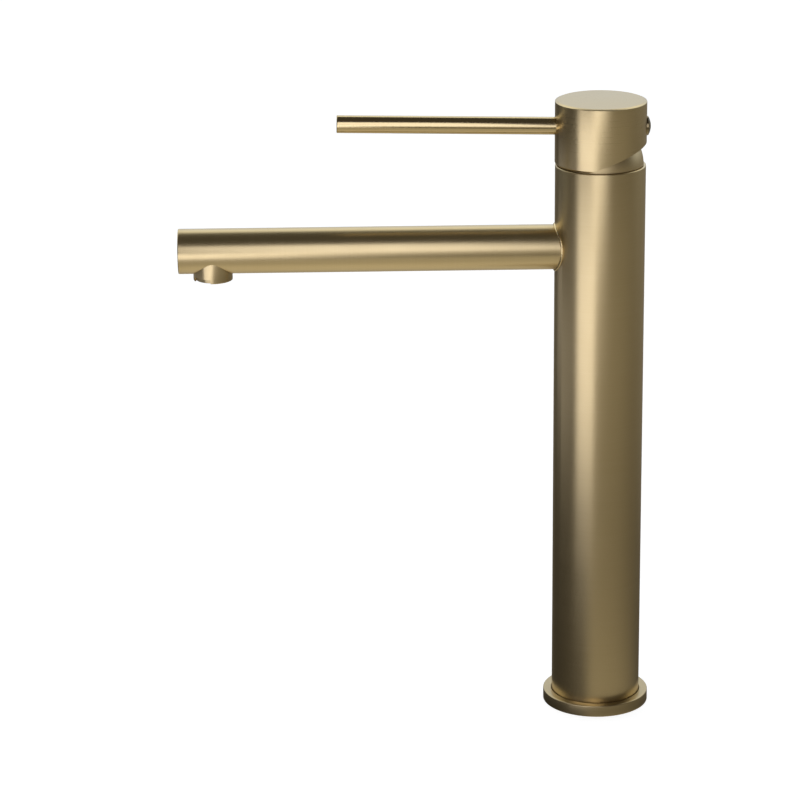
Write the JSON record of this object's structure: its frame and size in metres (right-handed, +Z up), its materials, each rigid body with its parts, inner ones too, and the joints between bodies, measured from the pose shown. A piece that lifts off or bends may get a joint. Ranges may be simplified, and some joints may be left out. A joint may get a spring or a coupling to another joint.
{
  "type": "bathroom mixer faucet",
  "caption": "Tall single-lever basin mixer: round column with a deck flange, straight tubular spout with an aerator below its end, and a pin lever on a domed cartridge cap.",
  "frame": {"origin": "centre of the column's foot, on the deck that the base flange rests on", "axes": "+Z up along the column, -Y towards the spout's end and the lever's tip, +X to the hot inlet's side"},
  "size_m": [0.055, 0.2419, 0.3242],
  "materials": {
    "brushed_gold": "fine brushed champagne gold coating over brass",
    "raw_brass": "machined brass",
    "steel": "machined stainless steel",
    "copper": "drawn copper",
    "ceramic": "lapped alumina",
    "white_plastic": "moulded acetal",
    "grey_plastic": "moulded, fine grain",
    "blue_plastic": "moulded, fine grain",
    "rubber": "matt black"
  },
  "bodies": {
    "fixed_body": {"base_flange": "brushed_gold", "base_gasket": "rubber", "base_insert": "raw_brass", "hot_inlet_pipe": "copper", "cold_inlet_pipe": "copper", "hot_pipe_lower_seal": "rubber", "hot_pipe_upper_seal": "rubber", "cold_pipe_lower_seal": "rubber", "cold_pipe_upper_seal": "rubber", "column_tube": "brushed_gold", "valve_body": "raw_brass", "spout_tube": "brushed_gold", "spout_end_plug": "brushed_gold", "spout_root_seal": "rubber", "aerator_collar": "brushed_gold", "aerator_housing": "brushed_gold", "aerator_gasket": "rubber", "aerator_diffuser": "white_plastic", "flow_straightener": "grey_plastic", "cartridge_base": "white_plastic", "hot_port_seal": "rubber", "cold_port_seal": "rubber", "outlet_port_seal": "rubber", "disc_gasket": "rubber", "fixed_ceramic_disc": "ceramic", "cartridge_housing": "white_plastic", "cartridge_nut": "raw_brass", "hot_limit_ring": "blue_plastic", "bonnet_dome": "brushed_gold"},
    "turning_body": {"cartridge_rotor": "grey_plastic", "pivot_pin": "steel"},
    "sliding_body": {"sliding_ceramic_disc": "ceramic", "disc_carrier": "white_plastic"},
    "handle": {"lever_stem": "steel", "handle_cap": "brushed_gold", "lever_rod": "brushed_gold", "lever_stud": "steel", "grub_screw": "steel", "index_plug": "brushed_gold"}
  },
  "joints": [
    {"name": "temperature_turn", "type": "hinge", "parent": "fixed_body", "child": "turning_body", "pos_m": [0, 0, 0.291], "axis": [0, 0, 1], "range_deg": [-45, 45]},
    {"name": "lever_lift", "type": "hinge", "parent": "turning_body", "child": "handle", "pos_m": [0, 0, 0.291], "axis": [-1, 0, 0], "range_deg": [0, 25]},
    {"name": "disc_slide", "type": "slide", "parent": "turning_body", "child": "sliding_body", "axis": [0, -1, 0], "range_m": [0, 0.0048]}
  ],
  "couplings": [
    {"joint": "disc_slide", "follows": "lever_lift", "m_per_rad": 0.010725}
  ]
}
